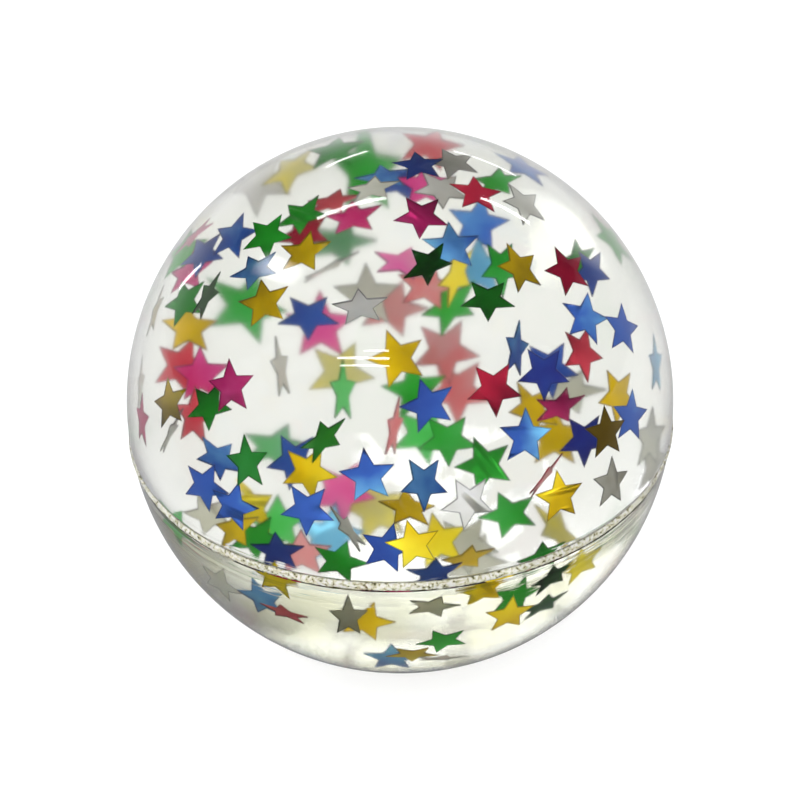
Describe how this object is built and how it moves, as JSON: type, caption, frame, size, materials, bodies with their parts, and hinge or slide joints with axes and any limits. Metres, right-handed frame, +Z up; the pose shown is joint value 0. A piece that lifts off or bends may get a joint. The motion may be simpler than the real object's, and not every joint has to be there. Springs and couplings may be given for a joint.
{
  "type": "bouncy ball",
  "caption": "Clear solid rubber bouncy ball with thin star-shaped film confetti in several colours cast inside and a fine moulding seam round its middle.",
  "frame": {"origin": "centre of the ball", "axes": "+Z up, square to the plane of the moulding seam; the seam lies in the XY plane; the picture looks along +Y and down at the seam"},
  "size_m": [0.0452, 0.0452, 0.045],
  "materials": {
    "clear_rubber": "crystal clear, glossy, very slightly warm",
    "seam_rubber": "trimmed, finely granular, half clear",
    "blue_film": "metallic film",
    "green_film": "metallic film",
    "gold_film": "metallic film",
    "magenta_film": "metallic film",
    "red_film": "metallic film",
    "silver_film": "metallic film"
  },
  "bodies": {
    "root": {"upper_half": "clear_rubber", "lower_half": "clear_rubber", "seam_band": "seam_rubber", "blue_stars_upper": "blue_film", "blue_stars_lower": "blue_film", "green_stars_upper": "green_film", "green_stars_lower": "green_film", "gold_stars_upper": "gold_film", "gold_stars_lower": "gold_film", "magenta_stars_upper": "magenta_film", "magenta_stars_lower": "magenta_film", "red_stars_upper": "red_film", "red_stars_lower": "red_film", "silver_stars_upper": "silver_film", "silver_stars_lower": "silver_film"}
  },
  "joints": []
}
